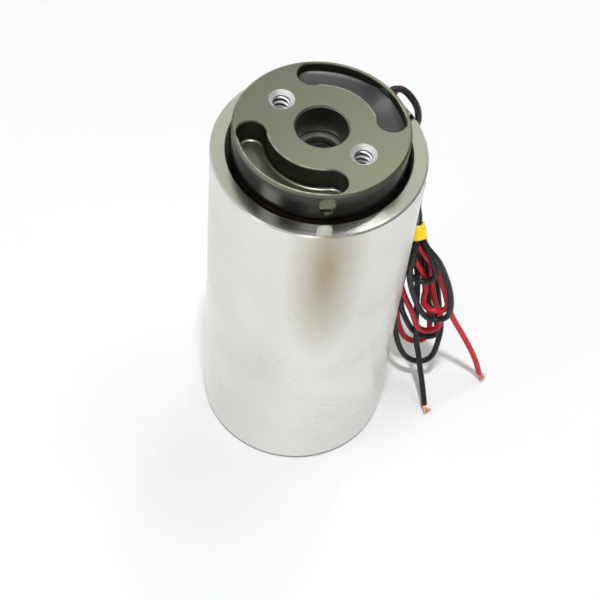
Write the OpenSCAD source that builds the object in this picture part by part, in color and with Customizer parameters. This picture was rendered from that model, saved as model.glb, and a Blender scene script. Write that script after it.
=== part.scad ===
// Moving-coil linear actuator, 40 mm housing, 14.9 mm stroke.
// A tube holds a stack of ring magnets and poles. A coil on a thin former
// slides in the gap around the stack and carries the holder on top.
// All lengths are in millimetres. Z = 0 is the mounting face.

/* [Housing] */
// Outer diameter of the housing tube
housing_od = 40; // [38:0.5:48]
// Wall thickness of the housing tube
housing_wall = 3; // [2:0.1:3.2]
// Height of the housing tube
housing_h = 80; // [72:1:110]
// Chamfer on the outer edge of the rim
rim_chamfer = 0.3; // [0.1:0.05:0.8]
// Chamfer on the bottom edge of the housing
foot_chamfer = 0.5; // [0.1:0.05:1]

/* [Base] */
// Thickness of the base plate
base_t = 9; // [8:0.5:12]
// Pitch circle of the mounting threads in the base
base_pcd = 24; // [20:0.5:27]
// Number of mounting threads in the base
base_threads = 4; // [2:1:6]
// Depth of the mounting threads in the base
base_thread_depth = 7; // [4:0.5:7]
// Radius at the crest of the internal threads
thread_r = 1.65; // [1.2:0.05:1.8]
// Diameter of the countersinks in the base
base_csk_d = 4.4; // [4:0.1:5]

/* [Magnet stack] */
// Radial gap between the poles and the holder's spigot
pole_gap = 0.4; // [0.3:0.05:0.8]
// Step from the poles' edge in to the magnets' edge
magnet_step = 0.5; // [0.2:0.05:1]
// Thickness of the middle pole
mid_pole_t = 12; // [8:0.5:16]
// Thickness of the top pole
top_pole_t = 6; // [5.5:0.25:9]
// Depth of the top pole's face below the rim
pole_drop = 0.6; // [0.2:0.1:2]
// Outer diameter of the centring sleeve
sleeve_od = 8; // [7:0.25:9]
// Wall of the centring sleeve
sleeve_wall = 1.4; // [0.8:0.1:1.6]
// Depth to which the sleeve sits in the base and in the top pole
sleeve_seat = 0.9; // [0.5:0.1:1]
// Diameter of the tie screw's shank
screw_d = 4; // [3:0.25:4]
// Diameter of the tie screw's head
screw_head_d = 7; // [6:0.25:7.5]
// Height of the tie screw's head
screw_head_h = 2.8; // [2:0.1:3]
// Hexagon socket of the tie screw, across flats
screw_socket = 2.5; // [2:0.5:3]
// Depth of the tie screw's socket
screw_socket_depth = 1.6; // [1:0.1:1.6]
// Depth of the tie screw's head below the pole face
screw_sink = 1.1; // [0.5:0.1:1.2]
// Length of the tie screw in the base plate
screw_grip = 7; // [5:0.5:7]

/* [Stop washer] */
// Inner diameter of the stop washer
stop_id = 11; // [10:0.25:12]
// Outer diameter of the stop washer
stop_od = 15.2; // [14:0.2:16]
// Thickness of the stop washer
stop_t = 1; // [0.6:0.1:1.4]
// Height by which the washer stands out of the pole
stop_proud = 0.2; // [0.1:0.05:0.4]

/* [Coil holder] */
// Radial gap between the holder and the housing's bore
holder_gap = 0.8; // [0.6:0.05:1.2]
// Thickness of the coil holder
holder_t = 6.5; // [6:0.25:10]
// Chamfer on the holder's upper edge
holder_chamfer = 0.4; // [0.1:0.05:0.5]
// Diameter of the hole through the holder
holder_bore = 9.5; // [8:0.25:10]
// Pitch circle of the two threads in the holder
holder_pcd = 19; // [17:0.25:19.5]
// Angle of the first thread in the holder
holder_thread_az = 145.5; // [135:0.5:155]
// Diameter of the countersinks in the holder
holder_csk_d = 4.8; // [4:0.1:5]
// Angle of the middle of the front pocket
pocket_az = -121; // [-125:0.5:-115]
// Angle that the pockets span
pocket_span = 113; // [90:1:116]
// Width of the pockets, from their inner to their outer wall
pocket_w = 5.3; // [4.6:0.1:5.6]
// Thickness of the wall outside the pockets
pocket_wall = 0.8; // [0.6:0.05:1.4]
// Floor left under the pockets
pocket_floor = 1.5; // [1:0.1:2.5]
// Chamfer on the pockets' edges
pocket_chamfer = 0.2; // [0.1:0.05:0.3]
// Width of the slots in the holder's side
slot_w = 2.9; // [2:0.1:3]
// Depth of the slots' upper end below the top face
slot_drop = 0.5; // [0.3:0.05:0.8]
// Height of the slots' lower end above the pockets' floor
slot_sill = 0.15; // [0.1:0.05:0.5]
// Angle of the front slot
slot_az = -81; // [-90:1:-75]
// Angle of the rear slot, where the leads come out
lead_az = 46; // [40:1:60]
// Gap between the holder and the stop washer at rest
rest_gap = 0.3; // [0.2:0.05:1]
// Outward travel of the coil
stroke = 14.9; // [5:0.1:14.9]

/* [Coil] */
// Radial gap between the coil and the housing's bore
running_gap = 0.85; // [0.6:0.05:1.2]
// Wall of the holder's spigot
spigot_wall = 0.6; // [0.5:0.05:0.65]
// Length of the holder's spigot
spigot_l = 3; // [2:0.25:5]
// Thickness of the former
former_t = 0.6; // [0.4:0.05:0.7]
// Thickness of the insulating film
film_t = 0.12; // [0.05:0.01:0.2]
// Radial build of the windings
winding_t = 1.15; // [0.8:0.05:1.25]
// Thickness of the outer wrap
wrap_t = 0.12; // [0.05:0.01:0.2]
// Height of the lower cheek
cheek_h = 1.5; // [1:0.1:3]
// Height of the winding in the top pole's gap
upper_winding_h = 21.5; // [18:0.5:24]

/* [Potting] */
// Depth of the potting compound in the rear pocket
potting_h = 2.4; // [1:0.1:3]
// Depth of the plug's face inside the holder's side
plug_sink = 0.3; // [0.1:0.05:0.6]
// How far the plug in the slot reaches back into the rear pocket
plug_lip = 0.3; // [0.2:0.05:1.2]

/* [Leads] */
// Diameter of the leads
lead_d = 1.3; // [0.9:0.05:1.4]
// Diameter of the bare ends
strand_d = 0.8; // [0.5:0.05:0.85]
// Thickness of the hank
hank_t = 6.6; // [5:0.2:7]
// Height of the tape round the hank
tape_h = 4.6; // [3:0.2:5]
// Thickness of the tape
tape_t = 0.3; // [0.1:0.05:0.4]

/* [Hidden] */

$fn = 96;
eps = 0.01;
// clearance of bonded and sliding joints inside the assembly
bond_gap = 0.03;
fit_gap = 0.05;
screw_gap = 0.15;
// overshoot of cutting bodies
cut = 1;

// radii, from the housing inward
housing_r = housing_od / 2;
bore_r = housing_r - housing_wall;
bore_chamfer = 0.3;
plate_r = bore_r - fit_gap;
plate_edge = 0.3;
holder_r = bore_r - holder_gap;
wrap_ro = bore_r - running_gap;
wrap_ri = wrap_ro - wrap_t;
winding_ro = wrap_ri - bond_gap;
winding_ri = winding_ro - winding_t;
film_ro = winding_ri - bond_gap;
film_ri = film_ro - film_t;
former_ro = film_ri - bond_gap;
former_ri = former_ro - former_t;
spigot_r = former_ri - bond_gap;
spigot_ri = spigot_r - spigot_wall;
pole_r = spigot_ri - pole_gap;
magnet_r = pole_r - magnet_step;

// stack, from the base upward
pole_top = housing_h - pole_drop;
magnet_t = (pole_top - base_t - mid_pole_t - top_pole_t) / 4;
magnet_1_z = base_t;
magnet_2_z = magnet_1_z + magnet_t;
mid_pole_z = magnet_2_z + magnet_t;
magnet_3_z = mid_pole_z + mid_pole_t;
magnet_4_z = magnet_3_z + magnet_t;
top_pole_z = magnet_4_z + magnet_t;
sleeve_r = sleeve_od / 2;
stack_bore_r = sleeve_r + 0.1;
magnet_edge = 0.25;
pole_edge = 0.2;

// tie screw
screw_head_z = pole_top - screw_sink - screw_head_h;
screw_tip_z = base_t - screw_grip;
screw_hole_r = screw_d / 2 + screw_gap;
screw_cbore_r = screw_head_d / 2 + 0.2;
screw_point = 0.5;

// stop washer
stop_z = pole_top + stop_proud - stop_t;

// holder
holder_z = pole_top + stop_proud + rest_gap;
holder_top = holder_z + holder_t;
holder_bore_r = holder_bore / 2;
bore_edge = 0.35;
under_chamfer = 0.1;
pocket_ro = holder_r - pocket_wall;
pocket_ri = pocket_ro - pocket_w;
pocket_mid = (pocket_ri + pocket_ro) / 2;
// the round ends are a hair wider than the arc, so that their walls cross
pocket_end_r = (pocket_ro - pocket_ri) / 2 + 0.02;
pocket_z = holder_z + pocket_floor;
pocket_end_az = asin(pocket_end_r / pocket_mid);
slot_r = slot_w / 2;
slot_low = pocket_z + slot_sill + slot_r;
slot_high = holder_top - slot_drop - slot_r;
slot_r0 = pocket_ro - pocket_end_r / 2;
spigot_z = holder_z - spigot_l;

// coil
main_winding_z = mid_pole_z - stroke - 0.3;
main_winding_top = mid_pole_z + mid_pole_t + 0.3;
former_z = main_winding_z - cheek_h;
upper_winding_z = holder_z - upper_winding_h;

// leads
lead_r = lead_d / 2;
strand_r = strand_d / 2;
lead_sides = 8;
plug_r = holder_r - plug_sink;
black_exit_z = slot_high;
red_exit_z = black_exit_z - 1.75;
exit_step = 1.3;

// the hank hangs behind the right side of the housing, its upper folds
// lie in a plane along the housing's wall
hank_y = 6.5;
neck_x = 22.7;
neck_w = 3.5;
neck_z = 44;
neck_top = 53;
tape_top = 51;
tape_z = tape_top - tape_h;
fold_az = 28;
fold_r = 20.9;
fold_t = 4.7;
fold_top = 62;
hank_round = [[27.4, 27.5, 4.6], [26.4, 10.2, 5.3], [22.6, 24, 2]];
fold_foot = [-4.2, 53.3, 1.6];
fold_low = [-3.2, 56];
fold_high = [5.8, fold_top];

// the leads' routes from the rear slot to the top of the hank
black_route = [
    [13.0, 13.0, 84.5], [14.3, 13.0, 84.1], [15.65, 12.45, 83.2],
    [16.95, 12.2, 81.3], [17.7, 12.15, 78.6], [17.75, 12.35, 76.2],
    [17.3, 12.8, 73.6], [17.0, 13.3, 71.0], [17.0, 13.55, 68.0],
    [17.3, 13.6, 65.0], [17.4, 13.6, fold_top]
];
red_route = [
    [13.0, 14.2, 82.75], [14.3, 14.2, 82.35], [15.65, 13.65, 81.45],
    [16.95, 13.45, 79.55], [17.75, 13.65, 76.85], [17.75, 14.0, 74.45],
    [17.4, 14.55, 71.85], [17.1, 15.0, 69.2], [17.2, 15.1, 66.5],
    [17.5, 15.0, 64.0], [17.6, 14.93, fold_top]
];

// the tails, from the hank to the floor
black_tail = [
    [26.3, 5.4, 13.0], [27.1, 4.0, 10.6], [27.8, 2.6, 8.1],
    [28.5, 1.1, 5.9], [29.2, -0.6, 3.8], [29.8, -2.4, 2.0], [30.1, -3.6, 1.1]
];
black_tip_route = [[30.1, -3.6, 1.1], [30.5, -4.3, 0.7], [31.0, -4.9, 0.5]];
red_tail = [
    [31.1, 7.6, 24.6], [32.3, 7.6, 22.3], [33.6, 7.5, 19.9],
    [34.9, 7.5, 17.4], [36.3, 7.4, 14.8], [37.7, 7.2, 12.2],
    [39.1, 7.0, 9.4], [40.4, 6.8, 6.6], [41.4, 6.6, 3.9],
    [42.2, 6.3, 1.5]
];
red_tip_route = [[42.2, 6.3, 1.5], [42.8, 6.1, 0.8], [43.6, 5.8, 0.5]];

function polar(r, a, z) = [r * cos(a), r * sin(a), z];
function unit(v) = v / norm(v);

// directions along a route, from each point's two neighbours
function route_dir(p, i) =
    i == 0 ? unit(p[1] - p[0])
    : i == len(p) - 1 ? unit(p[i] - p[i - 1])
    : unit(unit(p[i] - p[i - 1]) + unit(p[i + 1] - p[i]));

// a ring of points square to direction d around p
function ring_side(d) = unit(cross(d, [0.31, -0.9, 0.3]));
function ring(p, d, r) =
    let (u = ring_side(d), v = cross(d, u))
    [for (k = [0 : lead_sides - 1])
        p + r * (cos(360 * k / lead_sides) * u + sin(360 * k / lead_sides) * v)];

// a tube swept along a route, d0 and d1 are the end directions
module tube(p, r, d0, d1) {
    n = len(p);
    m = lead_sides;
    dirs = [for (i = [0 : n - 1])
        i == 0 ? d0 : i == n - 1 ? d1 : route_dir(p, i)];
    points = [for (i = [0 : n - 1]) each ring(p[i], dirs[i], r)];
    sides = [for (i = [0 : n - 2]) for (k = [0 : m - 1])
        let (a = i * m + k, b = i * m + (k + 1) % m)
        each [[a, a + m, b + m], [a, b + m, b]]];
    caps = [[for (k = [0 : m - 1]) k], [for (k = [m - 1 : -1 : 0]) (n - 1) * m + k]];
    polyhedron(points, concat(sides, caps), convexity = 6);
}

// a ring with chamfered outer edges
module ring_body(ri, ro, z, h, edge = 0) {
    rotate_extrude()
        polygon([
            [ri, z], [ro - edge, z], [ro, z + edge],
            [ro, z + h - edge], [ro - edge, z + h], [ri, z + h]
        ]);
}

// a hole with a countersink, its mouth at the origin, downward
module countersunk_hole(r, depth, csk_d) {
    csk_r = csk_d / 2;
    translate([0, 0, -depth]) cylinder(r = r, h = depth + cut, $fn = 48);
    translate([0, 0, r - csk_r]) cylinder(r1 = r, r2 = csk_r, h = csk_r - r, $fn = 48);
    cylinder(r = csk_r, h = cut, $fn = 48);
}

// the pocket's outline, an arc with full-round ends, from z0 to z1
module pocket_body(az, gap, z0, z1) {
    half = pocket_span / 2 - pocket_end_az;
    rotate([0, 0, az - half])
        rotate_extrude(angle = 2 * half)
            translate([pocket_ri + gap, z0])
                square([pocket_ro - pocket_ri - 2 * gap, z1 - z0]);
    for (s = [-1, 1])
        translate(polar(pocket_mid, az + s * half, z0))
            cylinder(r = pocket_end_r - gap, h = z1 - z0, $fn = 48);
}

// the chamfer round a pocket's mouth
module pocket_mouth(az) {
    half = pocket_span / 2 - pocket_end_az;
    c = pocket_chamfer;
    rotate([0, 0, az - half])
        rotate_extrude(angle = 2 * half)
            polygon([
                [pocket_ri, holder_top - c], [pocket_ro, holder_top - c],
                [pocket_ro + c, holder_top], [pocket_ri - c, holder_top]
            ]);
    for (s = [-1, 1])
        translate(polar(pocket_mid, az + s * half, holder_top - c))
            cylinder(r1 = pocket_end_r, r2 = pocket_end_r + c, h = c, $fn = 48);
}

// a slot with round ends, from radius r0 out to radius r1
module side_slot(az, r0, r1, gap) {
    rotate([0, 0, az]) {
        for (z = [slot_low, slot_high])
            translate([r0, 0, z]) rotate([0, 90, 0])
                cylinder(r = slot_r - gap, h = r1 - r0, $fn = 48);
        translate([r0, gap - slot_r, slot_low])
            cube([r1 - r0, slot_w - 2 * gap, slot_high - slot_low]);
    }
}

module housing_tube() {
    color([0.86, 0.85, 0.83])
    rotate_extrude($fn = 128)
        polygon([
            [bore_r + bore_chamfer, 0],
            [housing_r - foot_chamfer, 0],
            [housing_r - foot_chamfer * 0.3, foot_chamfer * 0.3],
            [housing_r, foot_chamfer],
            [housing_r, housing_h - rim_chamfer],
            [housing_r - rim_chamfer, housing_h],
            [bore_r + bore_chamfer, housing_h],
            [bore_r, housing_h - bore_chamfer],
            [bore_r, bore_chamfer]
        ]);
}

module base_plate() {
    color([0.74, 0.74, 0.75])
    difference() {
        ring_body(0, plate_r, 0, base_t, plate_edge);
        for (i = [0 : base_threads - 1])
            rotate([0, 0, 360 * (i + 0.5) / base_threads])
                translate([base_pcd / 2, 0, 0])
                    rotate([180, 0, 0])
                        countersunk_hole(thread_r, base_thread_depth, base_csk_d);
        translate([0, 0, screw_tip_z - screw_gap])
            cylinder(r = screw_d / 2 + fit_gap, h = base_t, $fn = 48);
        translate([0, 0, base_t - sleeve_seat])
            cylinder(r = sleeve_r + fit_gap, h = base_t, $fn = 64);
    }
}

module magnet(z) {
    color([0.63, 0.64, 0.66])
    ring_body(stack_bore_r, magnet_r, z, magnet_t, magnet_edge);
}

module magnet_1() {
    magnet(magnet_1_z);
}

module magnet_2() {
    magnet(magnet_2_z);
}

module magnet_3() {
    magnet(magnet_3_z);
}

module magnet_4() {
    magnet(magnet_4_z);
}

module middle_pole() {
    color([0.7, 0.7, 0.71])
    ring_body(stack_bore_r, pole_r, mid_pole_z, mid_pole_t, pole_edge);
}

module top_pole() {
    color([0.7, 0.7, 0.71])
    difference() {
        ring_body(screw_hole_r, pole_r, top_pole_z, top_pole_t, pole_edge);
        translate([0, 0, screw_head_z])
            cylinder(r = screw_cbore_r, h = top_pole_t, $fn = 64);
        translate([0, 0, top_pole_z - cut])
            cylinder(r = sleeve_r + fit_gap, h = sleeve_seat + cut, $fn = 64);
        ring_body(stop_id / 2 - fit_gap, stop_od / 2 + fit_gap, stop_z, stop_t + cut);
    }
}

module centering_sleeve() {
    color([0.8, 0.72, 0.45])
    ring_body(
        sleeve_r - sleeve_wall, sleeve_r, base_t - sleeve_seat,
        top_pole_z - base_t + 2 * sleeve_seat - fit_gap, 0.2
    );
}

module tie_screw() {
    shank_r = screw_d / 2;
    head_r = screw_head_d / 2;
    head_top = screw_head_z + screw_head_h;
    color([0.42, 0.42, 0.44])
    difference() {
        rotate_extrude($fn = 64)
            polygon([
                [0, screw_tip_z], [shank_r - screw_point, screw_tip_z],
                [shank_r, screw_tip_z + screw_point], [shank_r, screw_head_z],
                [head_r, screw_head_z], [head_r, head_top - 0.3],
                [head_r - 0.3, head_top], [0, head_top]
            ]);
        translate([0, 0, head_top - screw_socket_depth])
            cylinder(d = screw_socket / cos(30), h = screw_head_h, $fn = 6);
    }
}

module stop_washer() {
    color([0.12, 0.12, 0.12])
    ring_body(stop_id / 2, stop_od / 2, stop_z, stop_t);
}

module coil_holder() {
    color([0.2, 0.2, 0.19])
    difference() {
        union() {
            rotate_extrude($fn = 128)
                polygon([
                    [holder_bore_r, holder_z], [holder_r - under_chamfer, holder_z],
                    [holder_r, holder_z + under_chamfer],
                    [holder_r, holder_top - holder_chamfer],
                    [holder_r - holder_chamfer, holder_top],
                    [holder_bore_r + bore_edge, holder_top],
                    [holder_bore_r, holder_top - bore_edge]
                ]);
            ring_body(spigot_ri, spigot_r, spigot_z, spigot_l + eps);
        }
        for (s = [0, 180]) {
            rotate([0, 0, holder_thread_az + s])
                translate([holder_pcd / 2, 0, holder_top])
                    countersunk_hole(thread_r, holder_t + cut, holder_csk_d);
            pocket_body(pocket_az + s, 0, pocket_z, holder_top + cut);
            pocket_mouth(pocket_az + s);
        }
        side_slot(slot_az, slot_r0, holder_r + cut, 0);
        side_slot(lead_az, slot_r0, holder_r + cut, 0);
    }
}

module coil_former() {
    color([0.75, 0.75, 0.77])
    ring_body(former_ri, former_ro, former_z, holder_z - former_z);
}

module insulation_film() {
    color([0.72, 0.42, 0.12])
    ring_body(film_ri, film_ro, former_z, holder_z - former_z);
}

module lower_cheek() {
    color([0.78, 0.74, 0.5])
    ring_body(winding_ri, wrap_ro, former_z, cheek_h, 0.15);
}

module main_winding() {
    color([0.78, 0.42, 0.2])
    ring_body(winding_ri, winding_ro, main_winding_z, main_winding_top - main_winding_z);
}

module winding_spacer() {
    color([0.78, 0.74, 0.5])
    ring_body(winding_ri, winding_ro, main_winding_top, upper_winding_z - main_winding_top);
}

module upper_winding() {
    color([0.78, 0.42, 0.2])
    ring_body(winding_ri, winding_ro, upper_winding_z, upper_winding_h);
}

module winding_wrap() {
    color([0.75, 0.35, 0.12])
    ring_body(wrap_ri, wrap_ro, main_winding_z, holder_z - main_winding_z);
}

module potting_compound() {
    color([0.07, 0.07, 0.08])
    union() {
        pocket_body(pocket_az + 180, fit_gap, pocket_z, pocket_z + potting_h);
        side_slot(lead_az, pocket_ro - plug_lip, plug_r, fit_gap);
    }
}

module black_lead() {
    exit_p = polar(plug_r, lead_az, black_exit_z);
    exit_d = polar(1, lead_az, 0);
    color([0.13, 0.13, 0.14]) {
        tube(
            concat([exit_p, exit_p + exit_step * exit_d], black_route),
            lead_r, exit_d, [0, 0, -1]
        );
        tube(black_tail, lead_r, route_dir(black_tail, 0), unit([0.4, -0.7, -0.5]));
    }
}

module red_lead() {
    exit_p = polar(plug_r, lead_az, red_exit_z);
    exit_d = polar(1, lead_az, 0);
    color([0.78, 0.1, 0.14]) {
        tube(
            concat([exit_p, exit_p + exit_step * exit_d], red_route),
            lead_r, exit_d, [0, 0, -1]
        );
        tube(red_tail, lead_r, route_dir(red_tail, 0), unit([0.5, -0.2, -0.7]));
    }
}

// the outer shape of the loops: the hanging part, a straight neck for the
// tape and the folds above it
module lead_hank() {
    color([0.3, 0.12, 0.13]) {
        translate([0, hank_y + hank_t / 2, 0])
            rotate([90, 0, 0])
                linear_extrude(hank_t) {
                    translate([neck_x - neck_w / 2, neck_z])
                        square([neck_w, neck_top - neck_z]);
                    hull() {
                        translate([neck_x, neck_z]) circle(d = neck_w, $fn = 32);
                        for (c = hank_round)
                            translate([c[0], c[1]]) circle(r = c[2], $fn = 32);
                    }
                }
        rotate([0, 0, fold_az])
            translate([fold_r, 0, 0])
                rotate([90, 0, 90])
                    linear_extrude(fold_t)
                        hull() {
                            translate([fold_foot[0], fold_foot[1]])
                                circle(r = fold_foot[2], $fn = 32);
                            translate(fold_low) square(fold_high - fold_low);
                        }
    }
}

module hank_tape() {
    color([0.93, 0.75, 0.2])
    translate([neck_x, hank_y, tape_z])
        difference() {
            linear_extrude(tape_h)
                square([neck_w + 2 * tape_t, hank_t + 2 * tape_t], center = true);
            translate([0, 0, -cut])
                linear_extrude(tape_h + 2 * cut)
                    square([neck_w, hank_t], center = true);
        }
}

module black_tip() {
    color([0.8, 0.45, 0.3])
    tube(
        black_tip_route, strand_r,
        unit([0.4, -0.7, -0.5]), route_dir(black_tip_route, 2)
    );
}

module red_tip() {
    color([0.8, 0.45, 0.3])
    tube(
        red_tip_route, strand_r,
        unit([0.5, -0.2, -0.7]), route_dir(red_tip_route, 2)
    );
}

housing_tube();
base_plate();
magnet_1();
magnet_2();
middle_pole();
magnet_3();
magnet_4();
top_pole();
centering_sleeve();
tie_screw();
stop_washer();
coil_holder();
coil_former();
insulation_film();
lower_cheek();
main_winding();
winding_spacer();
upper_winding();
winding_wrap();
potting_compound();
black_lead();
red_lead();
lead_hank();
hank_tape();
black_tip();
red_tip();
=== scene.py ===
import math
import bpy
import numpy as np
from mathutils import Matrix, Vector

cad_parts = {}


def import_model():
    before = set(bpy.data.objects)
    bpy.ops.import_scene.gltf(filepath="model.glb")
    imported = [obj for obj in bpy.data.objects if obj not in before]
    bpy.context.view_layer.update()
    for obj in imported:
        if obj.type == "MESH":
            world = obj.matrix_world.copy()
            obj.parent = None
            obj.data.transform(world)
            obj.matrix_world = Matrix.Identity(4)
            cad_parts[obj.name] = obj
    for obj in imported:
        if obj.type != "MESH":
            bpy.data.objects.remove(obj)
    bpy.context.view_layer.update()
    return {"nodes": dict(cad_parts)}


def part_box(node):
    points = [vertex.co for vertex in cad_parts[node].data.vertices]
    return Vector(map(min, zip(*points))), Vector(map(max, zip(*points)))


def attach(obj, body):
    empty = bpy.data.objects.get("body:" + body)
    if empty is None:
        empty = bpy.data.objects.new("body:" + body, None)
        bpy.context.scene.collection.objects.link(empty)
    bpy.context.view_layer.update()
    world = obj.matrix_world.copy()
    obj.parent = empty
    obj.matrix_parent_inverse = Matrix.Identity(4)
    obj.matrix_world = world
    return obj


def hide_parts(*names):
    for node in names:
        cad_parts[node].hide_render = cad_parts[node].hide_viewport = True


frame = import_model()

MM = 0.001
rng = np.random.default_rng(7)


def top_of(node):
    """A CAD node's highest point, in millimetres."""
    return round(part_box(node)[1][2] / MM, 2)


def polar(r, az):
    """The point at a radius and an angle in degrees about the housing's axis."""
    return r * math.cos(math.radians(az)), r * math.sin(math.radians(az))


# places on the part in millimetres and degrees, as in part.scad
RIM_Z = top_of("housing_tube")
FACE_Z = top_of("coil_holder")
POCKET_FLOOR_Z = FACE_Z - 5.0
POTTING_Z = POCKET_FLOOR_Z + 2.4
FRONT_POCKET_AZ = -121
REAR_POCKET_AZ = 59
POCKET_SPAN = 113
POCKET_OUTER_R = 15.4
POCKET_INNER_R = 10.1
POCKET_MID_R = (POCKET_OUTER_R + POCKET_INNER_R) / 2
POCKET_END_R = (POCKET_OUTER_R - POCKET_INNER_R) / 2 + 0.02
HOLDER_R = 16.2
HOLDER_THREADS = [polar(9.5, 145.5 + 180 * k) for k in range(2)]
BASE_THREADS = [polar(12, 45 + 90 * k) for k in range(4)]
HOLDER_THREAD_Z = (FACE_Z - 6.3, FACE_Z - 1.1)
BASE_THREAD_Z = (0.75, 6.6)
LEAD_AZ = 46
LEAD_D = 1.3

# the photograph's view: the camera's place, its tilt up from straight down, and its roll
CAMERA_AT = (-0.443, -171.093, 278.254)
CAMERA_TILT = 34.7599
CAMERA_ROLL = 6.5246
CAMERA_LENS = 86.03


def camera():
    """The photograph's camera, without shift or depth of field."""
    data = bpy.data.cameras.new("photo_camera")
    data.sensor_fit = "HORIZONTAL"
    data.sensor_width = 36.0
    data.lens = CAMERA_LENS
    data.clip_start = 0.01
    data.clip_end = 20
    cam = bpy.data.objects.new("photo_camera", data)
    bpy.context.scene.collection.objects.link(cam)
    tilt = Matrix.Rotation(math.radians(CAMERA_TILT), 4, "X")
    roll = Matrix.Rotation(math.radians(CAMERA_ROLL), 4, "Z")
    cam.matrix_world = Matrix.Translation(Vector(CAMERA_AT) * MM) @ tilt @ roll
    bpy.context.scene.camera = cam


camera()


# mesh helpers
def put(name, verts, faces, body, mat):
    """A smooth mesh piece from points in millimetres, riding on a body."""
    mesh = bpy.data.meshes.new(name)
    points = [tuple(float(c) * MM for c in v) for v in verts]
    mesh.from_pydata(points, [], [tuple(int(i) for i in f) for f in faces])
    mesh.validate()
    mesh.polygons.foreach_set("use_smooth", [True] * len(mesh.polygons))
    mesh.update()
    piece = bpy.data.objects.new(name, mesh)
    bpy.context.scene.collection.objects.link(piece)
    mesh.materials.append(mat)
    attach(piece, body)
    return piece


def grid(rows, columns, closed):
    """Faces between neighbouring rows of points; closed joins the last column to the first."""
    faces = []
    for i in range(rows - 1):
        low = i * columns
        high = low + columns
        for k in range(columns if closed else columns - 1):
            m = (k + 1) % columns
            faces.append((low + k, low + m, high + m, high + k))
    return faces


def between(a, b, t, t_a, t_b):
    """The point on the line from a, reached at t_a, to b, reached at t_b."""
    return (t_b - t) / (t_b - t_a) * a + (t - t_a) / (t_b - t_a) * b


def along(points, fine=None):
    """Centripetal Catmull-Rom through the points: three steps each, or steps of the fine length."""
    p = np.array(points, float)
    q = np.vstack([2 * p[0] - p[1], p, 2 * p[-1] - p[-2]])
    out = []
    for i in range(1, len(q) - 2):
        a, b, c, d = q[i - 1:i + 3]
        t0 = 0.0
        t1 = t0 + np.linalg.norm(b - a) ** 0.5
        t2 = t1 + np.linalg.norm(c - b) ** 0.5
        t3 = t2 + np.linalg.norm(d - c) ** 0.5
        steps = 3 if fine is None else max(2, int(np.linalg.norm(c - b) / fine))
        for t in np.linspace(t1, t2, steps, endpoint=False):
            ab = between(a, b, t, t0, t1)
            bc = between(b, c, t, t1, t2)
            cd = between(c, d, t, t2, t3)
            out.append(between(between(ab, bc, t, t0, t2), between(bc, cd, t, t1, t3), t, t1, t2))
    out.append(p[-1])
    return np.array(out)


def rings(path, radius, sides):
    """A closed tube round a path, with frames carried along so that it doesn't twist."""
    path = np.asarray(path, float)
    n = len(path)
    radius = np.broadcast_to(np.asarray(radius, float), (n,))
    ahead = np.gradient(path, axis=0)
    ahead /= np.linalg.norm(ahead, axis=1)[:, None]
    # a direction that no lead or strand starts along
    u = np.cross(ahead[0], [0.3, 0.2, 0.9])
    u /= np.linalg.norm(u)
    verts = []
    angles = np.arange(sides) * 2 * math.pi / sides
    for i in range(n):
        u = u - ahead[i] * np.dot(u, ahead[i])
        u /= np.linalg.norm(u)
        v = np.cross(ahead[i], u)
        verts.extend(path[i] + radius[i] * (math.cos(a) * u + math.sin(a) * v) for a in angles)
    faces = grid(n, sides, closed=True)
    faces.append(tuple(range(sides - 1, -1, -1)))
    faces.append(tuple((n - 1) * sides + k for k in range(sides)))
    return verts, faces


def joined(parts):
    """Several meshes as one."""
    verts, faces = [], []
    for v, f in parts:
        k = len(verts)
        verts.extend(v)
        faces.extend(tuple(i + k for i in q) for q in f)
    return verts, faces


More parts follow.
